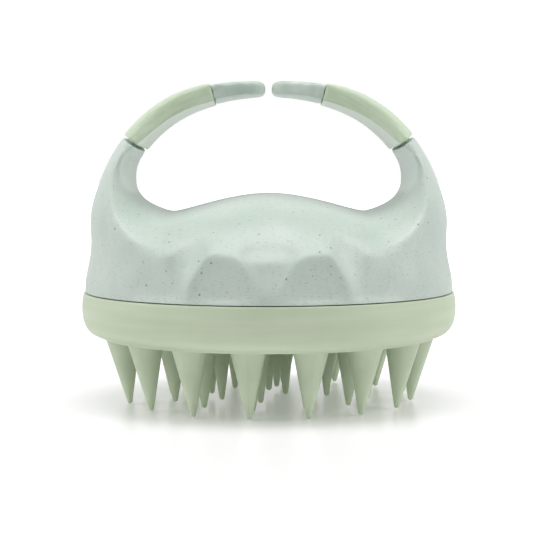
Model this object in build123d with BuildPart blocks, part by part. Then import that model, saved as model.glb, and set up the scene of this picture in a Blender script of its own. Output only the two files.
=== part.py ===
from build123d import *
from math import acos, atan2, cos, degrees, hypot, radians, sin
import os

os.makedirs("parts", exist_ok=True)

# Scalp massager brush, in millimetres. Z is up, X runs from arm to arm, and the front is -Y.
# The origin lies in the plane of the longest bristle tips, under the centre of the head.

# ---- bristle head ---------------------------------------------------------------------------
bristle_reach = 15.5          # outer tips to the underside of the pad
platform_radius = 40.3        # flat underside that carries the bristles
platform_step = 0.9           # how far that platform stands below the rim
rim_foot_radius = 42.3        # where the rim's rounding ends beside the platform
rim_radius = 45.2             # widest point of the soft rim
rim_height = 10.8             # underside of the pad to the top of the rim
rim_bulge_height = 7.4        # underside of the pad to the widest point
rim_draft = 0.45              # how far the rim closes in from there to its top
rim_foot_slope = 0.4          # slope of the rim's rounding where it leaves its foot
rim_top_slope = 0.3           # and how much it leans in at the top, for each mm of height
rim_lip_round = 0.35          # rounding of the rim's outer top edge
pad_floor = 3.5               # silicone under the socket

# Each ring of bristles: count, first bearing (degrees from +X), ring radius at the root,
# lean of the tip towards the centre, root radius, tip radius, and how much shorter it is.
outer_ring = dict(count=16, bearing=-75.0, radius=35.9, lean=1.5, root=4.05, tip=0.62, short=0.0)
second_ring = dict(count=12, bearing=-69.0, radius=24.6, lean=0.6, root=3.6, tip=0.66, short=0.35)
third_ring = dict(count=8, bearing=-53.0, radius=14.4, lean=0.3, root=2.7, tip=0.66, short=0.8)
centre_ring = dict(count=3, bearing=-30.0, radius=4.7, lean=0.1, root=2.15, tip=0.7, short=1.25)

# ---- fits -----------------------------------------------------------------------------------
seam_gap = 0.25               # open line between the rim and the cover
socket_clearance = 0.35       # round and under the plug of the carrier plate
plate_clearance = 0.15        # carrier plate in the mouth of the cover
screw_clearance = 0.15        # round the screw shanks
sleeve_clearance = 0.05       # bore of a grip sleeve on its core

# ---- cover ----------------------------------------------------------------------------------
seam_inset = 0.35             # the cover's wall stands inside the rim's top edge by this much
cover_height = 50.3           # seam to the top of the arms
cover_wall = 2.4              # palm surface down to the hollow
cover_lip = 2.2               # wall round the mouth that takes the carrier plate
plate_shelf = 5.2             # ledge above the plate, from the mouth in to the hollow
hollow_height = 21.5          # seam to the highest ceiling of the hollow
scoop_bearings = (13.2, 34.0)  # facets between the finger grooves, degrees off front and back
scoop_foot = 0.6              # height above the seam where the facets run out
scoop_height = 16.0           # of the cutting form, through the palm edge
scoop_depth = 0.85            # how far a facet's foot lies inside the seam radius
scoop_floor_foot = 8.2        # half width of a facet where it runs out at the seam
scoop_floor_top = 0.4         # half width of a facet above the palm edge
scoop_slope = 0.11            # how fast the facet goes inwards, for each mm of height
scoop_flare = 1.3             # width that its sloping sides gain for each mm outwards
scoop_corner = 0.9            # rounding between facet and sides
groove_bearing = 25.5         # finger groove between two facets, degrees off front and back
groove_lean = 10.0            # its floor from upright where it runs out, degrees
groove_sweep = 18.5           # its floor follows an arc of this radius over the shoulder
groove_radius = 8.0           # across the groove
groove_start = 13.0           # how far that arc starts below the run-out, degrees
groove_arc = 51.0             # length of that arc, degrees
groove_run_out = 20.0         # straight end of the cutting form, up and out of the palm
groove_foot = 2.4             # height above the seam where it runs out

# ---- arms -----------------------------------------------------------------------------------
arm_root = 12.1               # arm from the opening's widest place out to the seam radius
arm_tip_gap = 1.3             # open gap between the two arm tips
tip_edge_round = 1.5          # rounding of the tips, seen from the front
tip_corner_round = 3.0        # rounding of their corners, seen from above
sleeve_start = 0.43           # place of a sleeve's root end along the opening's outline
sleeve_end = 0.157            # place of its other end: 0 is the arm tip, 1 the palm's middle
sleeve_proud = 0.3            # a grip sleeve stands above the arm by this much
core_depth = 1.4              # arm surface down to the thinner core in the sleeve
sleeve_gap = 0.6              # open line at the root end of a sleeve

# ---- carrier plate and screws ---------------------------------------------------------------
plate_thickness = 2.0
plug_inset = 2.4              # plug stands inside the plate's edge by this much
plug_wall = 2.2
screw_count = 4
screw_circle = 27.0           # radius of the circle of screws
screw_shank_radius = 1.4
screw_head_radius = 2.8
screw_head_height = 1.8
screw_length = 9.0
recess_width = 0.7            # cross recess in the screw heads
recess_depth = 1.0
boss_radius = 3.8
pilot_spare = 1.0             # how much deeper than the screw its hole in the boss is

# ---- what follows from those sizes ----------------------------------------------------------
pad_bottom = bristle_reach
rim_top = pad_bottom + rim_height
rim_top_radius = rim_radius - rim_draft
seam_radius = rim_top_radius - seam_inset
cover_bottom = rim_top + seam_gap
mouth_radius = seam_radius - cover_lip
hollow_radius = mouth_radius - plate_shelf
plate_top = cover_bottom + plate_thickness
plug_radius = mouth_radius - plate_clearance - plug_inset
plug_depth = rim_height - pad_floor + seam_gap - socket_clearance
socket_radius = plug_radius + socket_clearance
opening_half_width = seam_radius - arm_root

# Outer silhouette: shares of the seam radius, and of the cover's height above the seam.
silhouette = [(1.0, 0.0), (1.002, 0.056), (0.980, 0.135), (0.966, 0.239), (0.971, 0.338),
              (0.941, 0.469), (0.856, 0.644), (0.707, 0.815), (0.495, 0.942), (0.248, 0.994),
              (0.0, 1.0)]

# Inner outline of the finger opening, left half, from the arm tip to the middle of the palm:
# shares of the opening's half width, and of the cover's height above the seam.
opening = [(arm_tip_gap / 2 / opening_half_width, 0.927), (0.430, 0.887), (0.762, 0.781),
           (0.947, 0.652), (1.0, 0.545), (0.935, 0.445), (0.752, 0.384), (0.372, 0.441),
           (0.0, 0.469)]

# Sections square to that outline: place along the half outline (0 at the arm tip, 1 at the
# middle of the palm), half width across the hand and depth of the side, both as shares of the
# seam radius, and how crisp the corner between side and inner face is (0 round, 1 crisp).
stations = [(0.0, 0.158, 0.005, 1.0), (0.07, 0.172, 0.014, 1.0), (0.14, 0.189, 0.018, 1.0),
            (0.30, 0.234, 0.028, 1.0), (0.43, 0.315, 0.046, 0.9), (0.52, 0.462, 0.169, 0.3),
            (0.60, 0.676, 0.315, 0.0), (0.68, 0.867, 0.360, 0.0), (0.80, 1.002, 0.417, 0.0),
            (1.0, 1.027, 0.495, 0.0)]
section_reach = 16.0          # sections run on this far past the side, through the silhouette

# Handles of the curve from that side to the middle of the inner face, as shares of the half
# width and of the side's depth.
soft_handles = ((1.0, 0.45), (0.56, 0.0))
crisp_handles = ((0.67, 0.07), (0.33, 0.0))


# ---- forms shared by the cover and the sleeves ----------------------------------------------
def silhouette_line(grow):
    """Outer silhouette as radius and height, moved outwards by grow."""
    line = Edge.make_spline([Vector(seam_radius * r, cover_bottom + cover_height * h) for r, h in silhouette])
    if grow == 0:
        return line
    moved = []
    steps = 16
    for n in range(steps):
        along = line.tangent_at(n / steps)
        moved.append(line.position_at(n / steps) + Vector(along.Y, -along.X) * grow)
    moved.append(line.position_at(1) + Vector(0, grow))
    return Edge.make_spline(moved)


def bell(grow):
    """Body of revolution under the outer silhouette."""
    with BuildPart() as form:
        with BuildSketch(Plane.XZ):
            with BuildLine():
                side = silhouette_line(grow)
                add(side)
                foot = side.position_at(0)
                Polyline(side.position_at(1), (0, foot.Y), foot)
            make_face()
        revolve(axis=Axis.Z)
    return form.part


def opening_line():
    """Whole outline of the finger opening, from the left arm tip to the right one."""
    left = [(-opening_half_width * x, cover_bottom + cover_height * h) for x, h in opening]
    right = [(-x, z) for x, z in left[-2::-1]]
    return Edge.make_spline([Vector(x, 0, z) for x, z in left + right])


def palm_form(grow):
    """Palm saddle and arm sides: all that lies outside the finger opening, moved out by grow."""
    line = opening_line()
    places = [(t / 2, w, d, s) for t, w, d, s in stations]
    places += [(1 - t / 2, w, d, s) for t, w, d, s in stations[-2::-1]]
    with BuildPart() as form:
        for t, half_width, side_depth, crisp in places:
            plane = Plane(origin=line.position_at(t), x_dir=(0, -1, 0), z_dir=line.tangent_at(t))
            w = seam_radius * half_width + grow
            depth = seam_radius * side_depth - grow * crisp
            corner = [(-w, depth)]
            for soft, sharp in zip(soft_handles, crisp_handles):
                across = soft[0] + (sharp[0] - soft[0]) * crisp
                down = soft[1] + (sharp[1] - soft[1]) * crisp
                corner.append((-across * w, down * depth - grow))
            corner.append((0, -grow))
            far = seam_radius * side_depth + section_reach
            with BuildSketch(plane):
                with BuildLine():
                    Bezier(*corner)
                    Bezier(*[(-x, y) for x, y in reversed(corner)])
                    Polyline((w, depth), (w, far), (-w, far), (-w, depth))
                make_face()
        loft()
    return form.part


def arm_form(grow):
    """Cover and arms in one, without scoops or hollow, the surface moved out by grow."""
    with BuildPart() as form:
        add(bell(grow))
        add(palm_form(grow), mode=Mode.INTERSECT)
    return form.part


def arm_zone(start, end):
    """Block that takes in the left arm between two places along the opening's outline."""
    line = opening_line()
    inner = []
    outer = []
    steps = 4
    for n in range(steps + 1):
        t = (start + (end - start) * n / steps) / 2
        along = line.tangent_at(t)
        out = Vector(along.Z, 0, -along.X)
        inner.append(line.position_at(t) - out * core_depth * 2)
        outer.append(line.position_at(t) + out * section_reach)
    with BuildPart() as form:
        with BuildSketch(Plane.XZ):
            with BuildLine():
                Polyline(*[(p.X, p.Z) for p in inner + outer[::-1]], close=True)
            make_face()
        extrude(amount=seam_radius, both=True)
    return form.part


# ---- cutting forms for the grip round the cover ---------------------------------------------
with BuildPart() as scoop:
    outside = seam_radius + scoop_corner * 4
    for height in (0, scoop_height):
        floor_x = seam_radius - scoop_depth - height * scoop_slope
        foot = scoop_floor_foot + (scoop_floor_top - scoop_floor_foot) * height / scoop_height
        side = foot + (outside - floor_x) * scoop_flare
        with BuildSketch(Plane.XY.offset(cover_bottom + scoop_foot + height)):
            with BuildLine():
                Polyline((floor_x, -foot), (floor_x, foot), (outside, side), (outside, -side), close=True)
            make_face()
    loft(ruled=True)
    upright = scoop.edges().filter_by(lambda e: abs(e.tangent_at(0.5).Z) > 0.5)
    fillet(upright.group_by(Axis.X)[0], scoop_corner)

with BuildPart() as groove:
    lean = radians(groove_lean)
    begin = radians(groove_lean - groove_start)
    centre = Vector(seam_radius - groove_sweep * cos(lean), 0,
                    cover_bottom + groove_foot - groove_sweep * sin(lean))
    outwards = Vector(cos(begin), 0, sin(begin))
    upwards = Vector(-sin(begin), 0, cos(begin))
    with BuildSketch(Plane(centre + outwards * (groove_sweep + groove_radius), outwards, upwards)):
        Circle(groove_radius)
    revolve(axis=Axis(centre, (0, -1, 0)), revolution_arc=groove_arc)
    extrude(groove.faces().sort_by(Axis.Z)[-1], amount=groove_run_out)

# ---- hollow under the palm, with the screw bosses left standing -------------------------------
with BuildPart() as hollow:
    with BuildSketch(Plane.XY.offset(plate_top)):
        Circle(hollow_radius)
    extrude(amount=cover_bottom + hollow_height - plate_top)
    add(palm_form(-cover_wall), mode=Mode.INTERSECT)
    with BuildSketch(Plane.XY.offset(plate_top)):
        with PolarLocations(screw_circle, screw_count, 180 / screw_count):
            Circle(boss_radius)
    extrude(amount=hollow_height, mode=Mode.SUBTRACT)

# ---- what rounds the arm tips ---------------------------------------------------------------
with BuildPart() as tip_rounding:
    tip_top = bell(0).bounding_box().max.Z
    tip_low = opening_line().position_at(0).Z
    tip_width = 2 * seam_radius * stations[0][1]
    tip_middle = (0, 0, (tip_top + tip_low) / 2)
    seen_from_front = Plane(tip_middle, (1, 0, 0), (0, -1, 0))
    seen_from_above = Plane(tip_middle, (1, 0, 0), (0, 0, 1))
    for view, across, corner_radius in ((seen_from_front, tip_top - tip_low, tip_edge_round),
                                        (seen_from_above, tip_width, tip_corner_round)):
        cut_length = arm_tip_gap / 2 + corner_radius
        with BuildSketch(view):
            with Locations((-cut_length / 2, 0)):
                Rectangle(cut_length, 2 * across)
            with Locations((-arm_tip_gap / 2 - 2 * corner_radius, 0)):
                RectangleRounded(4 * corner_radius, across, corner_radius, mode=Mode.SUBTRACT)
        extrude(amount=tip_width, both=True)
    mirror(about=Plane.YZ)

# ---- top cover ------------------------------------------------------------------------------
with BuildPart() as sleeve_room:
    add(arm_zone(sleeve_start, sleeve_end))
    add(arm_form(-core_depth), mode=Mode.SUBTRACT)
    mirror(about=Plane.YZ)

with BuildPart() as top_cover:
    add(arm_form(0))
    for bearing in scoop_bearings:
        for start in (-90 - bearing, -90 + bearing):
            with PolarLocations(0, 2, start):
                add(scoop.part, mode=Mode.SUBTRACT)
    for start in (-90 - groove_bearing, -90 + groove_bearing):
        with PolarLocations(0, 2, start):
            add(groove.part, mode=Mode.SUBTRACT)
    add(tip_rounding.part, mode=Mode.SUBTRACT)
    add(sleeve_room.part, mode=Mode.SUBTRACT)
    add(hollow.part, mode=Mode.SUBTRACT)
    with BuildSketch(Plane.XY.offset(cover_bottom)):
        Circle(mouth_radius)
    extrude(amount=plate_thickness, mode=Mode.SUBTRACT)
    with BuildSketch(Plane.XY.offset(plate_top)):
        with PolarLocations(screw_circle, screw_count, 180 / screw_count):
            Circle(screw_shank_radius)
    extrude(amount=screw_length - plate_thickness + pilot_spare, mode=Mode.SUBTRACT)
top_cover.part.label = "top_cover"
export_step(top_cover.part, "parts/top_cover.step")

# ---- grip sleeves ---------------------------------------------------------------------------
with BuildPart() as left_grip_sleeve:
    add(arm_form(sleeve_proud))
    add(arm_zone(sleeve_start - 2 * sleeve_gap / opening_line().length, sleeve_end), mode=Mode.INTERSECT)
    add(arm_form(sleeve_clearance - core_depth), mode=Mode.SUBTRACT)
left_grip_sleeve.part.label = "left_grip_sleeve"
export_step(left_grip_sleeve.part, "parts/left_grip_sleeve.step")

with BuildPart() as right_grip_sleeve:
    add(left_grip_sleeve.part.mirror(Plane.YZ))
right_grip_sleeve.part.label = "right_grip_sleeve"
export_step(right_grip_sleeve.part, "parts/right_grip_sleeve.step")

# ---- carrier plate --------------------------------------------------------------------------
with BuildPart() as carrier_plate:
    with BuildSketch(Plane.XY.offset(cover_bottom)):
        Circle(mouth_radius - plate_clearance)
    extrude(amount=plate_thickness)
    with BuildSketch(Plane.XY.offset(cover_bottom)):
        Circle(plug_radius)
        Circle(plug_radius - plug_wall, mode=Mode.SUBTRACT)
    extrude(amount=-plug_depth)
    with BuildSketch(Plane.XY.offset(cover_bottom)):
        with PolarLocations(screw_circle, screw_count, 180 / screw_count):
            Circle(screw_shank_radius + screw_clearance)
    extrude(amount=plate_thickness, mode=Mode.SUBTRACT)
carrier_plate.part.label = "carrier_plate"
export_step(carrier_plate.part, "parts/carrier_plate.step")

# ---- screws: pan heads under the plate --------------------------------------------------------
with BuildPart() as plate_screw:
    with BuildSketch(Plane.XY.offset(cover_bottom)):
        Circle(screw_head_radius)
    extrude(amount=-screw_head_height)
    fillet(plate_screw.faces().sort_by(Axis.Z)[0].edges(), screw_head_height / 2)
    with BuildSketch(Plane.XY.offset(cover_bottom - screw_head_height)):
        Rectangle(screw_head_radius, recess_width)
        Rectangle(recess_width, screw_head_radius)
    extrude(amount=recess_depth, mode=Mode.SUBTRACT)
    with BuildSketch(Plane.XY.offset(cover_bottom)):
        Circle(screw_shank_radius - screw_clearance / 3)
    extrude(amount=screw_length)
    chamfer(plate_screw.faces().sort_by(Axis.Z)[-1].edges(), screw_shank_radius / 3)

with BuildPart() as plate_screws:
    with PolarLocations(screw_circle, screw_count, 180 / screw_count):
        add(plate_screw.part)
plate_screws.part.label = "plate_screws"
export_step(plate_screws.part, "parts/plate_screws.step")

# ---- bristle pad ----------------------------------------------------------------------------
with BuildPart() as bristle_pad:
    with BuildSketch(Plane.XZ):
        with BuildLine():
            shoulder = (platform_radius + platform_step / 2, pad_bottom + platform_step)
            foot = (rim_foot_radius, pad_bottom + platform_step)
            widest = (rim_radius, pad_bottom + rim_bulge_height)
            top = (rim_top_radius, rim_top)
            socket_floor = (0, pad_bottom + pad_floor)
            Polyline(socket_floor, (0, pad_bottom), (platform_radius, pad_bottom), shoulder, foot)
            Spline(foot, widest, tangents=[(1, rim_foot_slope), (0, 1)])
            Spline(widest, top, tangents=[(0, 1), (-rim_top_slope, 1)])
            Polyline(top, (socket_radius, rim_top), (socket_radius, pad_bottom + pad_floor), socket_floor)
        make_face()
    revolve(axis=Axis.Z)
    fillet(bristle_pad.edges().group_by(Axis.Z)[-1].sort_by(SortBy.RADIUS)[-1], rim_lip_round)
bristle_pad.part.label = "bristle_pad"
export_step(bristle_pad.part, "parts/bristle_pad.step")


# ---- bristles -------------------------------------------------------------------------------
def bristle_ring(ring):
    """All bristles of one ring: leaning cones with round tips, cut flat at the platform."""
    drop = bristle_reach - ring["short"]
    root, tip = ring["root"], ring["tip"]
    length = hypot(drop, ring["lean"])
    centre = tip - length
    taper = acos(tip / hypot(root, centre)) - atan2(-centre, root)
    spare = root * ring["lean"] / drop + tip
    flank = root + spare * sin(taper) / cos(taper)
    with BuildPart() as upright:
        with BuildSketch(Plane.XZ):
            with BuildLine():
                end = CenterArc((0, centre), tip, -90, 90 - degrees(taper))
                Polyline(end @ 1, (flank, spare), (0, spare), end @ 0)
            make_face()
        revolve(axis=Axis.Z)
    with BuildPart() as spike:
        tilt = degrees(atan2(ring["lean"], drop))
        with Locations(Location((ring["radius"], 0, pad_bottom), (0, tilt, 0))):
            add(upright.part)
        split(bisect_by=Plane.XY.offset(pad_bottom), keep=Keep.BOTTOM)
    with BuildPart() as bristles:
        with PolarLocations(0, ring["count"], ring["bearing"]):
            add(spike.part)
    return bristles.part


outer_bristles = bristle_ring(outer_ring)
outer_bristles.label = "outer_bristles"
export_step(outer_bristles, "parts/outer_bristles.step")

second_bristles = bristle_ring(second_ring)
second_bristles.label = "second_bristles"
export_step(second_bristles, "parts/second_bristles.step")

third_bristles = bristle_ring(third_ring)
third_bristles.label = "third_bristles"
export_step(third_bristles, "parts/third_bristles.step")

centre_bristles = bristle_ring(centre_ring)
centre_bristles.label = "centre_bristles"
export_step(centre_bristles, "parts/centre_bristles.step")
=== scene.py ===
# %% [markdown]
# # Dressing and lighting a scalp massager brush
# The brush is a round palm brush for washing hair. A hollow cover with two open arms lies in the
# hand, and a soft pad with rings of tapered bristles reaches the scalp. The shapes were built as
# solids beforehand and are loaded as a fixed frame. This lesson softens the moulded edges, gives
# each piece its finish, and sets up a plain studio for it.

# %% Load the solids and keep their box
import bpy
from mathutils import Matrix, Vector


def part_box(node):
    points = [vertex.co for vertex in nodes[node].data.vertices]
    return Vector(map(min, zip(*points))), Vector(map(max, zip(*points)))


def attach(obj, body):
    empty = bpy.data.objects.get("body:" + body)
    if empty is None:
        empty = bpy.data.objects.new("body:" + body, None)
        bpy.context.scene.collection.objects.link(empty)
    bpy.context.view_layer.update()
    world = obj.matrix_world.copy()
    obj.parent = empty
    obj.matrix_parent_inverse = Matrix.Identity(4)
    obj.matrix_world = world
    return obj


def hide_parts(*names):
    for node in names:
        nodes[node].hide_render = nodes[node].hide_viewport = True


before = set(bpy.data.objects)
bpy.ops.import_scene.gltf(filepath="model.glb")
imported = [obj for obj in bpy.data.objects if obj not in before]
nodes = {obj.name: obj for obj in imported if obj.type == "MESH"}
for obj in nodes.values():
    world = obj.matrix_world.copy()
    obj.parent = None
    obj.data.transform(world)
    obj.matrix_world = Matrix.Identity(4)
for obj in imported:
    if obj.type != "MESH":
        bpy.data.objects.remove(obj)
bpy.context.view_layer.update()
print("pieces:", ", ".join(sorted(nodes)))

# %% [markdown]
# Colours are easiest to judge as they look on a screen, from 0 to 255, but shaders work in linear
# light. One small helper turns the first into the second, so every finish below is written the
# way an eye would name it. Lengths are written in millimetres, and `MM` turns them into the metres
# that Blender counts in.

# %% Colours and lengths
import math

import bpy
import numpy as np
from mathutils import Vector

MM = 0.001


def screen_colour(red, green, blue):
    """A colour as seen on a screen, 0 to 255, as the linear colour that shaders take."""
    linear = []
    for value in (red, green, blue):
        v = value / 255
        linear.append(v / 12.92 if v <= 0.04045 else ((v + 0.055) / 1.055) ** 2.4)
    return (*linear, 1.0)


print("pale grey green is", [round(v, 3) for v in screen_colour(210, 216, 208)])

# %% [markdown]
# Every finish is a net of nodes, and most of them are placed in the same way. `place` adds a node
# and feeds its sockets, each from another node's output or with a plain value. The other helpers
# each stand for a node that comes up again and again: a Math node, a soft step between two values,
# one colour laid over another.

# %% Helpers that place nodes
def feed(tree, node, sockets):
    """Feeds a node's sockets. Each takes another node's output, or a plain value."""
    for socket, value in sockets.items():
        if isinstance(value, bpy.types.NodeSocket):
            tree.links.new(value, node.inputs[socket])
        else:
            node.inputs[socket].default_value = value


def place(tree, kind, column, row, sockets=None, **settings):
    """Adds one node in a tidy grid, sets its options and feeds its sockets."""
    node = tree.nodes.new(kind)
    node.location = (column * 200, -row * 200)
    for option, value in settings.items():
        setattr(node, option, value)
    feed(tree, node, sockets or {})
    return node


def work_out(tree, operation, first, second, column, row):
    """What a Math node makes of two values."""
    node = place(tree, "ShaderNodeMath", column, row, {0: first, 1: second}, operation=operation)
    return node.outputs[0]


def fade(tree, value, start, end, column, row, low=0, high=1, curve="SMOOTHSTEP"):
    """Goes from low to high while the value goes from start to end, and stays there beyond."""
    node = place(tree, "ShaderNodeMapRange", column, row,
                 {"Value": value, "From Min": start, "From Max": end, "To Min": low, "To Max": high},
                 interpolation_type=curve)
    return node.outputs[0]


def lay(tree, mask, below, above, column, row=1):
    """The colour below with the colour above laid over it, as far as the mask says."""
    node = place(tree, "ShaderNodeMix", column, row, {"Factor": mask, "A": below, "B": above},
                 data_type="RGBA")
    return node.outputs["Result"]


def position(tree, column, row):
    """Where a point of the surface lies in its object's own space, in metres."""
    return place(tree, "ShaderNodeTexCoord", column, row).outputs["Object"]


def per_metre(tree, millimetres, column, row):
    """How often a length in millimetres fits into a metre, which is what textures call scale."""
    return work_out(tree, "DIVIDE", 1 / MM, millimetres, column, row)


print("helpers for nodes ready")

# %% [markdown]
# Several finishes share an effect: moulded plastic and silicone both have a faint cloudiness and a
# fine skin. Such an effect is a node group with named inputs, built once and placed in each
# material with its own values. The next cell starts such a group.

# %% Start a group
FLOAT, COLOUR, VECTOR = "NodeSocketFloat", "NodeSocketColor", "NodeSocketVector"


def new_group(name, inputs, outputs):
    """An empty shader group with its sockets, what it is given, and its output node."""
    group = bpy.data.node_groups.new(name, "ShaderNodeTree")
    for socket, kind, value in inputs:
        made = group.interface.new_socket(socket, in_out="INPUT", socket_type=kind)
        made.default_value = value
    for socket, kind in outputs:
        group.interface.new_socket(socket, in_out="OUTPUT", socket_type=kind)
    start = group.nodes.new("NodeGroupInput")
    end = group.nodes.new("NodeGroupOutput")
    start.location = (-1400, 0)
    end.location = (1200, 0)
    print("group:", name)
    return group, start.outputs, end


# %% [markdown]
# ## Cloudiness
# Neither the straw-filled plastic nor the silicone is one flat colour. Pigment and filler settle
# unevenly while the part is moulded, which shows as soft clouds, a centimetre or two across on the
# large pieces. Noise in object space gives that, because the pattern then keeps its real size on
# every piece.

# %% The cloudiness group
CLOUD_STARTS, CLOUD_FULL = 0.35, 0.65
cloudiness, given, result = new_group(
    "Cloudiness",
    [("Colour", COLOUR, (0.6, 0.6, 0.6, 1)), ("Cloud Colour", COLOUR, (0.5, 0.5, 0.5, 1)),
     ("Cloud Size mm", FLOAT, 15.0), ("Strength", FLOAT, 0.5)],
    [("Colour", COLOUR)])
clouds = place(cloudiness, "ShaderNodeTexNoise", -2, 1, {
    "Vector": position(cloudiness, -4, 1),
    "Scale": per_metre(cloudiness, given["Cloud Size mm"], -3, 2),
    "Detail": 3})
cloud = fade(cloudiness, clouds.outputs["Fac"], CLOUD_STARTS, CLOUD_FULL, -1, 1, curve="LINEAR")
amount = work_out(cloudiness, "MULTIPLY", cloud, given["Strength"], 0, 1)
feed(cloudiness, result, {"Colour": lay(cloudiness, amount, given["Colour"], given["Cloud Colour"], 1)})
print("cloudiness has", len(cloudiness.nodes), "nodes")

# %% [markdown]
# ## Flecks and fibres
# The cover is moulded from plastic with ground straw in it. Up close there are two things: small
# brown husks, a few to the square centimetre, and faint short fibres. Both come from one group. A
# Voronoi texture scatters cells, a random number per cell keeps only a share of them, and the
# distance to the cell's middle draws the speck. Stretching the coordinates turns round specks into
# fibres, and turning them first sets the way the fibres lie.

# %% The fleck group
flecks, given, result = new_group(
    "Flecks",
    [("Spacing mm", FLOAT, 2.0), ("Share", FLOAT, 0.1), ("Size", FLOAT, 0.2),
     ("Stretch", VECTOR, (1.0, 1.0, 1.0)), ("Turn", VECTOR, (0.0, 0.0, 0.0))],
    [("Mask", FLOAT)])
turned = place(flecks, "ShaderNodeVectorRotate", -4, 1,
               {"Vector": position(flecks, -5, 1), "Rotation": given["Turn"]},
               rotation_type="EULER_XYZ")
stretched = place(flecks, "ShaderNodeVectorMath", -3, 1,
                  {0: turned.outputs[0], 1: given["Stretch"]}, operation="MULTIPLY")
cells = place(flecks, "ShaderNodeTexVoronoi", -2, 1, {
    "Vector": stretched.outputs[0],
    "Scale": per_metre(flecks, given["Spacing mm"], -3, 3)})
lot = place(flecks, "ShaderNodeSeparateColor", -1, 2, {0: cells.outputs["Color"]})
kept = work_out(flecks, "LESS_THAN", lot.outputs[0], given["Share"], 0, 2)
speck = fade(flecks, cells.outputs["Distance"], 0, given["Size"], 0, 0, low=1, high=0)
feed(flecks, result, {"Mask": work_out(flecks, "MULTIPLY", speck, kept, 1, 1)})
print("flecks has", len(flecks.nodes), "nodes")

# %% [markdown]
# ## Moulded skin
# A steel mould is blasted before use, and the part copies that fine roughness. It is too small to
# model, so it is a bump: noise a few tenths of a millimetre across, on wider, weaker waves. The
# group puts out a height, and the Bump node stays in each material, where the strength is a plain
# number.

# %% The skin group
WAVES_PER_METRE = 220
skin, given, result = new_group(
    "Moulded skin", [("Grain mm", FLOAT, 0.4), ("Waviness", FLOAT, 0.4)], [("Height", FLOAT)])
where = position(skin, -4, 1)
fine = place(skin, "ShaderNodeTexNoise", -2, 0,
             {"Vector": where, "Scale": per_metre(skin, given["Grain mm"], -3, 2)})
wide = place(skin, "ShaderNodeTexNoise", -2, 2, {"Vector": where, "Scale": WAVES_PER_METRE})
waves = work_out(skin, "MULTIPLY", wide.outputs["Fac"], given["Waviness"], -1, 2)
feed(skin, result, {"Height": work_out(skin, "ADD", fine.outputs["Fac"], waves, 0, 1)})
print("skin has", len(skin.nodes), "nodes")

# %% [markdown]
# ## Flow lines
# Silicone keeps faint lines where it flowed in the mould: round the pad's rim, and lengthwise on
# the grip sleeves. Both run round an axis, so the group turns the place into a bearing, a reach and
# a height about that axis, and reads noise there that is long one way and fine the other two. The
# bearing is an angle, and it becomes a length along a circle of the brush's own size.

# %% The flow line group
FLOW_CIRCLE = 40 * MM
LINE_STARTS, LINE_FULL = 0.35, 0.68
flow, given, result = new_group(
    "Flow lines",
    [("Centre", VECTOR, (0.0, 0.0, 0.0)), ("Turn", VECTOR, (0.0, 0.0, 0.0)),
     ("Line mm", FLOAT, 1.0), ("Length mm", FLOAT, 30.0)],
    [("Mask", FLOAT)])
centred = place(flow, "ShaderNodeVectorMath", -5, 1,
                {0: position(flow, -6, 1), 1: given["Centre"]}, operation="SUBTRACT")
upright = place(flow, "ShaderNodeVectorRotate", -4, 1,
                {"Vector": centred.outputs[0], "Rotation": given["Turn"]},
                rotation_type="EULER_XYZ")
axes = place(flow, "ShaderNodeSeparateXYZ", -3, 1, {0: upright.outputs[0]}).outputs
bearing = work_out(flow, "ARCTAN2", axes["Y"], axes["X"], -2, 0)
around = work_out(flow, "MULTIPLY", bearing, FLOW_CIRCLE, -1, 0)
flat = place(flow, "ShaderNodeCombineXYZ", -2, 2, {"X": axes["X"], "Y": axes["Y"]})
reach = place(flow, "ShaderNodeVectorMath", -1, 2, {0: flat.outputs[0]}, operation="LENGTH")
lines = place(flow, "ShaderNodeCombineXYZ", 2, 1)
lengths = (("X", around, "Length mm"), ("Y", reach.outputs["Value"], "Line mm"),
           ("Z", axes["Z"], "Line mm"))
for row, (socket, length, size) in enumerate(lengths):
    scale = per_metre(flow, given[size], 0, row)
    feed(flow, lines, {socket: work_out(flow, "MULTIPLY", length, scale, 1, row)})
noise = place(flow, "ShaderNodeTexNoise", 3, 1, {"Vector": lines.outputs[0], "Scale": 1, "Detail": 1})
mark = fade(flow, noise.outputs["Fac"], LINE_STARTS, LINE_FULL, 4, 1, curve="LINEAR")
feed(flow, result, {"Mask": mark})
print("flow lines has", len(flow.nodes), "nodes")

# %% [markdown]
# ## Painted bounce light on the inner side of the arms
# The inner side of the arms and sleeves is painted paler: painted light bounced up from the white
# floor.
# The arms curve about a point inside the cover, under the palm: a surface whose normal points back at
# that point is on the inner side, and one that points away from it isn't. The two directions' dot
# product tells them apart, with a short fade between.

# %% The inner side group, for painted bounce light
ARM_ARC_MIDDLE = 34.5 * MM
INSIDE_STARTS, INSIDE_FULL = -0.45, -0.65
inner_bounce_light, given, result = new_group("Inner side", [("Amount", FLOAT, 1.0)], [("Mask", FLOAT)])
from_middle = place(inner_bounce_light, "ShaderNodeVectorMath", -3, 1,
                    {0: position(inner_bounce_light, -4, 1), 1: (0, 0, ARM_ARC_MIDDLE)},
                    operation="SUBTRACT")
outwards = place(inner_bounce_light, "ShaderNodeVectorMath", -2, 1, {0: from_middle.outputs[0]},
                 operation="NORMALIZE")
normal = place(inner_bounce_light, "ShaderNodeNewGeometry", -2, 0).outputs["Normal"]
facing = place(inner_bounce_light, "ShaderNodeVectorMath", -1, 0, {0: outwards.outputs[0], 1: normal},
               operation="DOT_PRODUCT")
inside = fade(inner_bounce_light, facing.outputs["Value"], INSIDE_STARTS, INSIDE_FULL, 0, 0,
              high=given["Amount"])
feed(inner_bounce_light, result, {"Mask": inside})
print("the arms curve about a point", round(ARM_ARC_MIDDLE / MM, 1), "mm up")

# %% [markdown]
# ## Starting a material
# All finishes here begin the same way: a Principled shader with its plain numbers, a cloudy base
# colour and a bump for the skin. One function lays that out. A second one lays a further colour on
# top of what the base colour has so far, and every layer below is put on with it.

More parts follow.
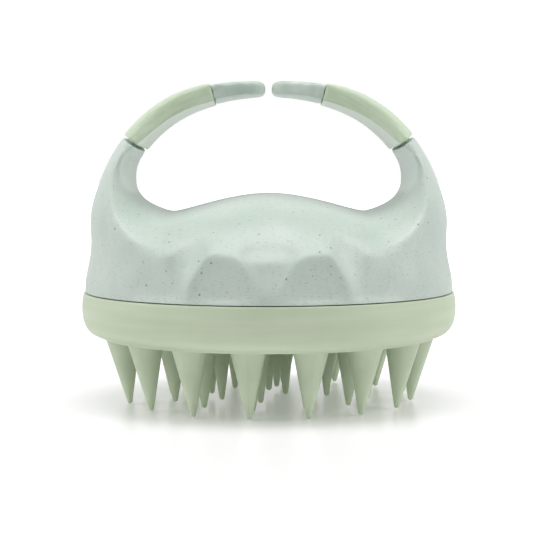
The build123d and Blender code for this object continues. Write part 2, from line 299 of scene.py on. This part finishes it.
# %% Start a finish
SKIN_DEPTH = 0.05 * MM


def start_finish(name, colour, cloud, cloud_size, cloud_strength, grain, bump, plain):
    """A material with cloudiness and moulded skin. plain holds the shader's own numbers."""
    material = bpy.data.materials.new(name)
    material.use_nodes = True
    tree = material.node_tree
    shader = tree.nodes["Principled BSDF"]
    ground = place(tree, "ShaderNodeGroup", -4, 0, {
        "Colour": screen_colour(*colour), "Cloud Colour": screen_colour(*cloud),
        "Cloud Size mm": cloud_size, "Strength": cloud_strength}, node_tree=cloudiness)
    surface = place(tree, "ShaderNodeGroup", -4, 3, {"Grain mm": grain}, node_tree=skin)
    relief = place(tree, "ShaderNodeBump", -1, 3, {
        "Strength": bump, "Distance": SKIN_DEPTH, "Height": surface.outputs["Height"]})
    feed(tree, shader, plain)
    feed(tree, shader, {"Base Color": ground.outputs["Colour"], "Normal": relief.outputs["Normal"]})
    print("finish:", name)
    return material, tree, shader


def lay_on_top(tree, shader, mask, colour, column):
    """Lays a colour over what the shader's base colour has so far, as far as the mask says."""
    below = shader.inputs["Base Color"].links[0].from_socket
    feed(tree, shader, {"Base Color": lay(tree, mask, below, colour, column)})


print("bumps are up to", SKIN_DEPTH / MM, "mm high")

# %% [markdown]
# ## The cover's straw plastic
# The cover and its arms are a pale, slightly blue grey green with a satin skin. Fibres are a little
# darker or lighter than the ground and only just visible, and most lie from arm to arm, the way the
# melt flowed. Husks are brown specks, about half a millimetre across. All are laid over the cloudy
# colour one after the other, the husks last. Each row of the table is one layer: its colour, how
# far its cells are apart in millimetres, the share of cells that is kept, the size of a speck in
# its cell, and how it is stretched and turned.

# %% Straw plastic
straw_plastic, tree, shader = start_finish(
    "straw_plastic", colour=(197, 210, 201), cloud=(183, 199, 188), cloud_size=11,
    cloud_strength=0.6, grain=0.5, bump=0.3, plain={"Roughness": 0.42, "Specular IOR Level": 0.55})
ROUND, UNTURNED = (1.0, 1.0, 1.0), (0.0, 0.0, 0.0)
straw = (
    ("fine fibres", (180, 193, 183), 0.5, 0.55, 0.42, (0.35, 1.0, 1.2), (0.05, -0.1, 0.12)),
    ("long fibres", (175, 190, 179), 0.75, 0.5, 0.38, (0.4, 1.0, 1.3), (0.35, 0.2, 0.12)),
    ("dark fibres", (164, 176, 164), 1.1, 0.3, 0.22, (0.5, 1.1, 1.2), (0.2, -0.35, 0.55)),
    ("pale fibres", (212, 220, 213), 0.8, 0.2, 0.25, (0.5, 1.0, 1.3), (0.15, 0.3, -0.6)),
    ("small husks", (120, 118, 101), 1.35, 0.16, 0.18, ROUND, UNTURNED),
    ("large husks", (109, 97, 80), 2.6, 0.5, 0.15, ROUND, UNTURNED),
)
for column, (kind, colour, spacing, share, size, stretch, turn) in enumerate(straw, start=-4):
    marks = place(tree, "ShaderNodeGroup", column, 4, {
        "Spacing mm": spacing, "Share": share, "Size": size, "Stretch": stretch, "Turn": turn},
        node_tree=flecks)
    lay_on_top(tree, shader, marks.outputs["Mask"], screen_colour(*colour), column)
    print(kind, "in", share, "of the cells,", spacing, "mm apart")

# %% [markdown]
# The two arm tips are painted a shade darker, and more clouded than the rest. Height alone tells them
# apart, because nothing else that shows of the cover is that high: a soft step in Z is the mask, and a
# second cloudiness with smaller clouds the colour.

# %% Darker tips
TIPS_START, TIPS_FULL = 68 * MM, 73 * MM
TIPS_COVERED = 0.85


def height_up(tree, column, row):
    """How high a point of the surface lies, in metres."""
    spot = position(tree, column, row)
    return place(tree, "ShaderNodeSeparateXYZ", column + 1, row, {0: spot}).outputs["Z"]


tip_clouds = place(tree, "ShaderNodeGroup", 1, 4, {
    "Colour": screen_colour(205, 218, 207), "Cloud Colour": screen_colour(164, 184, 171),
    "Cloud Size mm": 5.5, "Strength": 0.8}, node_tree=cloudiness)
tip_mask = fade(tree, height_up(tree, -1, 6), TIPS_START, TIPS_FULL, 1, 6, high=TIPS_COVERED)
lay_on_top(tree, shader, tip_mask, tip_clouds.outputs["Colour"], 2)
print("tips darken from", round(TIPS_START / MM), "mm up")

# %% [markdown]
# The inner side of the arms is painted paler, as painted bounce light from the floor. The group made
# for it gives the mask, and its amount says how much of the paler colour covers the straw plastic. The
# grip sleeves get the same further down.

# %% Painted bounce light on the inner side
def paint_inner_bounce_light(tree, shader, colour, amount):
    """Lays a paler colour, as painted bounce light, over the inner side of the arms, on top of what the
    shader has.
    """
    marks = place(tree, "ShaderNodeGroup", 2, 6, {"Amount": amount}, node_tree=inner_bounce_light)
    lay_on_top(tree, shader, marks.outputs["Mask"], screen_colour(*colour), 3)
    print("paler inner side by", amount)


paint_inner_bounce_light(tree, shader, (228, 236, 230), amount=0.7)

# %% [markdown]
# ## Silicone
# The pad, its bristles and the grip sleeves are sage green silicone. Light goes a little way in,
# so thin bristles look softer than solid paint would. A small subsurface weight with a radius of
# about a millimetre does that. The pad's rim has lighter flow lines round it.

# %% Silicone of the pad
soft = {"Roughness": 0.48, "Specular IOR Level": 0.4, "Subsurface Weight": 0.12,
        "Subsurface Radius": (1.0, 1.0, 0.7), "Subsurface Scale": 1.2 * MM}


def lay_flow(tree, shader, colour, strength, sockets):
    """Lays flow lines of one colour over what the shader has. sockets are the group's own."""
    marks = place(tree, "ShaderNodeGroup", -4, 5, sockets, node_tree=flow)
    faint = work_out(tree, "MULTIPLY", marks.outputs["Mask"], strength, -3, 5)
    lay_on_top(tree, shader, faint, screen_colour(*colour), -2)


pad_silicone, tree, shader = start_finish(
    "pad_silicone", colour=(199, 212, 185), cloud=(188, 203, 173), cloud_size=22,
    cloud_strength=0.6, grain=0.35, bump=0.2, plain=soft)
lay_flow(tree, shader, (211, 220, 198), strength=0.45, sockets={"Line mm": 2.2, "Length mm": 34.0})
print("pad silicone has", len(tree.nodes), "nodes")

# %% [markdown]
# The bristles taper to little more than a millimetre. Their lower part is painted paler, as painted
# fill light that lifts the shade near the floor. As with the arm tips, height is all the mask needs:
# it grows from well up the bristle down to its tip.

# %% Silicone of the bristles
PALER_BELOW, PALEST_BELOW = 11 * MM, 2 * MM
bristle_silicone, tree, shader = start_finish(
    "bristle_silicone", colour=(200, 213, 187), cloud=(188, 203, 175), cloud_size=9,
    cloud_strength=0.6, grain=0.3, bump=0.15, plain=soft)
# painted fill light: the lower part of each bristle is painted paler
painted_fill_low = fade(tree, height_up(tree, -6, 6), PALER_BELOW, PALEST_BELOW, -4, 6)
lay_on_top(tree, shader, painted_fill_low, screen_colour(218, 232, 203), -2)
print("bristles get paler below", round(PALER_BELOW / MM), "mm")

# %% [markdown]
# A grip sleeve follows its arm, so its flow lines run round the axis that the arms curve about.
# That axis lies front to back, and a quarter turn brings it upright for the group. The inner side
# is painted paler here too, as painted bounce light, and more so than on the cover.

# %% Silicone of the sleeves
sleeve_silicone, tree, shader = start_finish(
    "sleeve_silicone", colour=(192, 209, 182), cloud=(182, 201, 171), cloud_size=12,
    cloud_strength=0.6, grain=0.35, bump=0.2, plain=soft)
lay_flow(tree, shader, (212, 223, 203), strength=0.5, sockets={
    "Centre": (0.0, 0.0, ARM_ARC_MIDDLE), "Turn": (math.radians(90), 0.0, 0.0),
    "Line mm": 0.8, "Length mm": 26.0})
paint_inner_bounce_light(tree, shader, (236, 241, 233), amount=1.0)
print("sleeve silicone has", len(tree.nodes), "nodes")

# %% [markdown]
# ## Carrier plate and screws
# These show only when the pad is pulled off. The plate is the cover's plastic without straw, and
# the screws are zinc plated steel. Small as they are, they get a real finish too.

# %% Plate plastic and zinc
carrier_plastic, *_ = start_finish(
    "carrier_plastic", colour=(202, 208, 198), cloud=(194, 201, 190), cloud_size=18,
    cloud_strength=0.5, grain=0.45, bump=0.3, plain={"Roughness": 0.5, "Specular IOR Level": 0.4})
zinc, *_ = start_finish(
    "zinc", colour=(196, 197, 199), cloud=(176, 178, 182), cloud_size=3,
    cloud_strength=0.7, grain=0.2, bump=0.3, plain={"Roughness": 0.32, "Metallic": 1.0})

# %% [markdown]
# ## Soft edges
# On the real cover every edge between the facets and the finger grooves is rounded over by a
# millimetre or two, and the light rolls over it. The solids have those edges crisp. Rounding them
# one by one would take a long list of bevels, so the surface is remeshed into small even faces, and
# then relaxed: each point moves towards the middle of its neighbours, by its own weight, a few
# times over. numpy moves all points at once.

# %% Helpers that remesh and relax
def even_copy(node, name, face_size):
    """A new object with the surface of a solid, in small even faces."""
    made = bpy.data.objects.new(name, nodes[node].data.copy())
    bpy.context.scene.collection.objects.link(made)
    step = made.modifiers.new("even_faces", "REMESH")
    step.mode = "VOXEL"
    step.voxel_size = face_size
    graph = bpy.context.evaluated_depsgraph_get()
    even = bpy.data.meshes.new_from_object(made.evaluated_get(graph))
    made.modifiers.clear()
    made.data = even
    print(name, "has", len(even.vertices), "points")
    return made


def points_of(piece):
    """All points of a piece's mesh, one row each."""
    flat = np.empty(len(piece.data.vertices) * 3, dtype=np.float32)
    piece.data.vertices.foreach_get("co", flat)
    return flat.reshape(-1, 3).astype(float)


def set_points(piece, points):
    """Puts changed points back into the piece's mesh."""
    piece.data.vertices.foreach_set("co", points.astype(np.float32).ravel())
    piece.data.update()


def relax(piece, weight, turns):
    """Moves each point towards the middle of its neighbours, as far as its weight says."""
    points = points_of(piece)
    count = len(points)
    ends = np.empty(len(piece.data.edges) * 2, dtype=np.int32)
    piece.data.edges.foreach_get("vertices", ends)
    one, other = ends[0::2], ends[1::2]
    neighbours = np.bincount(ends, minlength=count)
    for _ in range(turns):
        for axis in range(3):
            line = points[:, axis]
            total = np.bincount(one, line[other], count) + np.bincount(other, line[one], count)
            points[:, axis] = line + weight * (total / neighbours - line)
    set_points(piece, points)
    print(piece.name, "relaxed by", turns, "turns")


def ramp(value, start, end):
    """0 at start, 1 at end, and even between. start may be the larger of the two."""
    return np.clip((value - start) / (end - start), 0, 1)


def dress(piece, material):
    """Gives a made piece smooth shading and its finish."""
    piece.data.shade_smooth()
    piece.data.materials.clear()
    piece.data.materials.append(material)


print("helpers for soft edges ready")

# %% [markdown]
# The cover is the piece to soften. Seams, the mouth and the ends under the sleeves have to stay
# crisp, so the weight fades out near those. Where they are comes from the solids' boxes.

# %% Weights for the cover
COVER_FACE = 0.5 * MM
CRISP_AT_SEAM, SOFT_OFF_SEAM = 0.3 * MM, 1.8 * MM
CRISP_AT_SLEEVE, SOFT_OFF_SLEEVE = 1.2 * MM, 4 * MM
CRISP_AT_TIP, SOFT_OFF_TIP = 0.8 * MM, 2.5 * MM
cover = even_copy("top_cover", "cover_shell", COVER_FACE)
seam_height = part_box("top_cover")[0].z
wall_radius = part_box("top_cover")[1].x
sleeve_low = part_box("left_grip_sleeve")[0].z
sleeve_tip = -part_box("left_grip_sleeve")[1].x

points = points_of(cover)
aside, height = np.abs(points[:, 0]), points[:, 2]
above_seam = ramp(height, seam_height + CRISP_AT_SEAM, seam_height + SOFT_OFF_SEAM)
below_sleeve = ramp(height, sleeve_low - CRISP_AT_SLEEVE, sleeve_low - SOFT_OFF_SLEEVE)
past_sleeve = ramp(aside, sleeve_tip - CRISP_AT_TIP, sleeve_tip - SOFT_OFF_TIP)
softness = above_seam * np.where(height > sleeve_low, past_sleeve, below_sleeve)
print("the weight is full on", int((softness == 1).sum()), "of", len(points), "points")

# %% [markdown]
# Between the two middle facets, front and back, a shallow dish for a finger tip leans back further
# than they do, and widens upwards. Its soft outline would be hard to cut from the solid, so the
# points there are pushed in, the higher the more, up to nearly two millimetres at the rim of the
# palm. A weaker one beside each outer facet slants that facet's inner edge. Both run out again over
# the palm. A dish is given by its bearing off the front, half its width at the rim, both in degrees,
# and its depth in millimetres.

# %% Dishes for the finger tips
DISHES = ((0.0, 8.5, 1.9), (27.5, 4.5, 0.8))
DISH_FOOT = math.radians(0.5)
DISH_EDGE, DISH_EDGE_ABOVE = math.radians(1.1), math.radians(4.0)
DISH_START, DISH_FULL = seam_height + 1 * MM, seam_height + 11 * MM
RIM_START, RIM_END = seam_height + 10 * MM, seam_height + 13 * MM
PALM_SIDE, WALL_SIDE = wall_radius - 13 * MM, wall_radius - 4 * MM
OFF_AXIS = 1 * MM
radius = np.hypot(points[:, 0], points[:, 1])
off_front = np.arctan2(aside, np.abs(points[:, 1]))
up_the_wall = ramp(height, DISH_START, DISH_FULL)
edge = DISH_EDGE + (DISH_EDGE_ABOVE - DISH_EDGE) * ramp(height, RIM_START, RIM_END)
outside = ramp(radius, PALM_SIDE, WALL_SIDE)
dish = np.zeros(len(points))
for bearing, half_width_at_rim, depth in DISHES:
    half_width = DISH_FOOT + (math.radians(half_width_at_rim) - DISH_FOOT) * up_the_wall
    off_middle = np.abs(off_front - math.radians(bearing))
    across = ramp(off_middle, half_width + edge, half_width - edge)
    dish = np.maximum(dish, depth * MM * across * up_the_wall * outside)
points[:, :2] *= (1 - dish / np.maximum(radius, OFF_AXIS))[:, None]
set_points(cover, points)
print("dishes are up to", round(dish.max() / MM, 2), "mm deep")

# %% [markdown]
# Now the whole cover is relaxed. On the real one the outer facets fade out towards the arms, while
# the solid has a crisp edge there. So from a bearing just inside that edge, and under the palm's
# rim, the relaxing goes on much longer.

# %% Soft edges of the cover
STEP = 0.6
FADE_START, FADE_FULL = math.radians(35), math.radians(38)
FADE_TOP, FADE_LOW = seam_height + 13 * MM, seam_height + 9 * MM
FADE_DEPTH = 4.5 * MM
relax(cover, STEP * softness, turns=10)
under_rim = ramp(height, FADE_TOP, FADE_LOW)
beside = ramp(off_front, FADE_START, FADE_FULL) * under_rim * (radius > wall_radius - FADE_DEPTH)
relax(cover, STEP * softness * beside, turns=60)

# %% [markdown]
# The remeshing has cut off the wall's lower corner. The seam beside it is only a quarter of a
# millimetre wide, so the corner is drawn back to where it belongs. Then the cover takes the place
# of its solid. Edges steeper than the set angle, at the mouth and the seams, stay sharp in shading.

# %% The softened cover
CORNER_HEIGHT, CORNER_DEPTH, CORNER_INSET = 0.4 * MM, 0.9 * MM, 0.15 * MM
SHARP_FROM = math.radians(48)
points = points_of(cover)
radius = np.hypot(points[:, 0], points[:, 1])
corner = (points[:, 2] < seam_height + CORNER_HEIGHT) & (radius > wall_radius - CORNER_DEPTH)
points[corner, 2] = seam_height
points[corner, :2] *= ((wall_radius - CORNER_INSET) / radius[corner])[:, None]
set_points(cover, points)
dress(cover, straw_plastic)
cover.data.set_sharp_from_angle(angle=SHARP_FROM)
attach(cover, "handle")
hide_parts("top_cover")
print("cover wall is", round(wall_radius / MM, 1), "mm in radius,", int(corner.sum()), "corner points")

# %% [markdown]
# ## Grip sleeves
# A sleeve is a thin silicone tube over the arm. Its back rolls over from side to side, while the
# line between its side and its crowned inner face stays firm. So how far a point is relaxed goes
# by how far out it lies on the arm: the arm is cut into narrow slices seen from the middle of its
# arc, and in each slice the nearest and the farthest point give the scale.

# %% Softened sleeves
SLEEVE_FACE = 0.3 * MM
SLICES = 60
FIRM, ROLLED = 0.04, 0.5
FIRM_UP_TO, ROLLED_FROM = 0.35, 0.6
END_START, END_FULL = 0.02, 0.12


def soften_sleeve(node, name):
    """Replaces one grip sleeve by a copy with a rounded back and slightly rounded ends."""
    sleeve = even_copy(node, name, SLEEVE_FACE)
    points = points_of(sleeve)
    rise = points[:, 2] - ARM_ARC_MIDDLE
    reach = np.hypot(points[:, 0], rise)
    bearing = np.arctan2(rise, np.abs(points[:, 0]))
    along = (bearing - bearing.min()) / (bearing.max() - bearing.min())
    slice_of = np.minimum((along * SLICES).astype(int), SLICES - 1)
    nearest = np.full(SLICES, np.inf)
    farthest = np.zeros(SLICES)
    np.minimum.at(nearest, slice_of, reach)
    np.maximum.at(farthest, slice_of, reach)
    how_far_out = (reach - nearest[slice_of]) / (farthest[slice_of] - nearest[slice_of])
    off_the_ends = ramp(along, END_START, END_FULL) * ramp(1 - along, END_START, END_FULL)
    rolled = ROLLED * ramp(how_far_out, FIRM_UP_TO, ROLLED_FROM) * off_the_ends
    relax(sleeve, FIRM + rolled, turns=45)
    dress(sleeve, sleeve_silicone)
    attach(sleeve, "handle")
    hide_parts(node)


soften_sleeve("left_grip_sleeve", "left_sleeve_skin")
soften_sleeve("right_grip_sleeve", "right_sleeve_skin")

# %% [markdown]
# ## Finishes on the pieces that keep their solids
# The pad, bristles, plate and screws already have the right form. They only take their finish, in
# the slot that the solid brought along.

# %% Give each solid its finish
finishes = {
    "bristle_pad": pad_silicone,
    "outer_bristles": bristle_silicone, "second_bristles": bristle_silicone,
    "third_bristles": bristle_silicone, "centre_bristles": bristle_silicone,
    "carrier_plate": carrier_plastic, "plate_screws": zinc,
}
for name, material in finishes.items():
    solid = nodes[name]
    for slot in solid.material_slots:
        slot.link = "OBJECT"
        slot.material = material
    print(name, "takes", material.name, "on", len(solid.data.polygons), "faces")

# %% [markdown]
# ## Floor
# A brush this size is shown on a white sweep: the floor keeps the shadow near the brush, and
# further off it runs into white without a line. A real sweep is bent up behind. Here a flat floor
# does it with light of its own that grows with distance, and only the camera sees that part, so it
# doesn't light the brush. A faint even glow under the bristles keeps them from going dark. The
# floor lies a hair below their tips, so that none passes through it.

# %% Floor
FLOOR_SIZE = 6
FLOOR_DROP = 0.2 * MM
FLOOR_GLOW = 0.12
SEEN_NEAR, SEEN_FAR = 0.05, 0.8
SWEEP_START, SWEEP_END = 0.12, 0.9
bpy.ops.mesh.primitive_grid_add(
    x_subdivisions=4, y_subdivisions=4, size=FLOOR_SIZE, location=(0, 0, -FLOOR_DROP))
floor = bpy.context.object
floor.name = "floor"
floor_paint = bpy.data.materials.new("floor_paint")
floor_paint.use_nodes = True
tree = floor_paint.node_tree
shader = tree.nodes["Principled BSDF"]
reach = place(tree, "ShaderNodeVectorMath", -5, 2, {0: position(tree, -6, 2)}, operation="LENGTH")
sweep = fade(tree, reach.outputs["Value"], SWEEP_START, SWEEP_END, -4, 2, low=SEEN_NEAR, high=SEEN_FAR)
rays = place(tree, "ShaderNodeLightPath", -4, 0).outputs
lift = work_out(tree, "MULTIPLY", sweep, rays["Is Camera Ray"], -3, 2)
glow = work_out(tree, "ADD", lift, FLOOR_GLOW, -2, 2)
feed(tree, shader, {
    "Base Color": (0.89, 0.875, 0.895, 1), "Roughness": 0.28, "Specular IOR Level": 0.3,
    "Emission Color": (1, 1, 1, 1), "Emission Strength": glow})
floor.data.materials.append(floor_paint)
print("floor is", round(floor.dimensions.x, 1), "m wide")

# %% [markdown]
# ## World
# Beyond the floor everything is white, but only to the camera, to reflections and through glass. As
# a light the world is weak, so that the lamps shape the brush. The room in front, where the camera
# stands, is darker than the room behind, so the cover's upright wall in front comes out darker than
# its palm.

# %% World
ROOM_IN_FRONT, ROOM_BEHIND = 0.1, 0.30
FRONT_ENDS, BACK_STARTS = -0.9, 0.1
WHITE = 1.0
world = bpy.data.worlds.new("studio")
world.use_nodes = True
bpy.context.scene.world = world
tree = world.node_tree
rays = place(tree, "ShaderNodeLightPath", -4, 0).outputs
seen = work_out(tree, "MAXIMUM", rays["Is Camera Ray"], rays["Is Glossy Ray"], -3, 0)
seen = work_out(tree, "MAXIMUM", seen, rays["Is Transmission Ray"], -2, 0)
heading = place(tree, "ShaderNodeTexCoord", -4, 2).outputs["Generated"]
back = place(tree, "ShaderNodeSeparateXYZ", -3, 2, {0: heading}).outputs["Y"]
room = fade(tree, back, FRONT_ENDS, BACK_STARTS, -2, 2, low=ROOM_IN_FRONT, high=ROOM_BEHIND)
level = fade(tree, seen, 0, 1, -1, 0, low=room, high=WHITE, curve="LINEAR")
feed(tree, tree.nodes["Background"], {"Color": (1, 1, 1, 1), "Strength": level})
print("world lights from", ROOM_IN_FRONT, "in front to", ROOM_BEHIND, "behind")

# %% [markdown]
# ## Lamps
# The main light is a large soft box overhead, much stronger than the rest, so that whatever leans
# back is brighter than what stands upright. Two boxes at the sides draw the walls and the inner
# side of the arms, and a weak low one in front keeps the bristles readable.

# %% Lamps
def soft_box(name, stands_at, looks_at, width, depth, watts):
    """A rectangular area lamp that faces a point."""
    data = bpy.data.lights.new(name, "AREA")
    data.shape = "RECTANGLE"
    data.size = width
    data.size_y = depth
    data.energy = watts
    lamp = bpy.data.objects.new(name, data)
    lamp.location = stands_at
    aim = Vector(looks_at) - Vector(stands_at)
    lamp.rotation_euler = aim.to_track_quat("-Z", "Y").to_euler()
    bpy.context.scene.collection.objects.link(lamp)
    print(name, watts, "W")


brush_middle = (0, 0, 0.04)
bristle_height = (0, 0, 0.01)
soft_box("overhead_box", (0.0, 0.0, 0.80), brush_middle, width=0.6, depth=0.5, watts=3.6)
soft_box("left_box", (-0.62, -0.12, 0.45), brush_middle, width=0.6, depth=0.6, watts=2.3)
soft_box("right_box", (0.62, -0.12, 0.45), brush_middle, width=0.6, depth=0.6, watts=2.3)
soft_box("front_box", (0.0, -0.9, 0.10), bristle_height, width=0.8, depth=0.15, watts=0.05)

# %% [markdown]
# ## Camera
# A long lens, from about forty centimetres in front and a little above the palm, shows the brush
# nearly from the side, as it stands on a shelf. It looks down by not quite four degrees.

# %% Camera
FOCAL_LENGTH, SENSOR = 114.8, 36
LOOKS_DOWN, ROLL = 3.86, 0.1
NEAREST_SEEN = 10 * MM
lens = bpy.data.cameras.new("studio_camera")
lens.lens = FOCAL_LENGTH
lens.sensor_width = SENSOR
lens.clip_start = NEAREST_SEEN
camera = bpy.data.objects.new("studio_camera", lens)
camera.location = (-0.51 * MM, -412.5 * MM, 60.0 * MM)
camera.rotation_euler = (math.radians(90 - LOOKS_DOWN), math.radians(ROLL), 0)
bpy.context.scene.collection.objects.link(camera)
bpy.context.scene.camera = camera
print("camera is", round(camera.location.length / MM), "mm from the brush's foot")

# %% [markdown]
# Last, the view settings stay plain, so that colours show as written.

# %% Plain view settings
bpy.context.scene.view_settings.view_transform = "Standard"
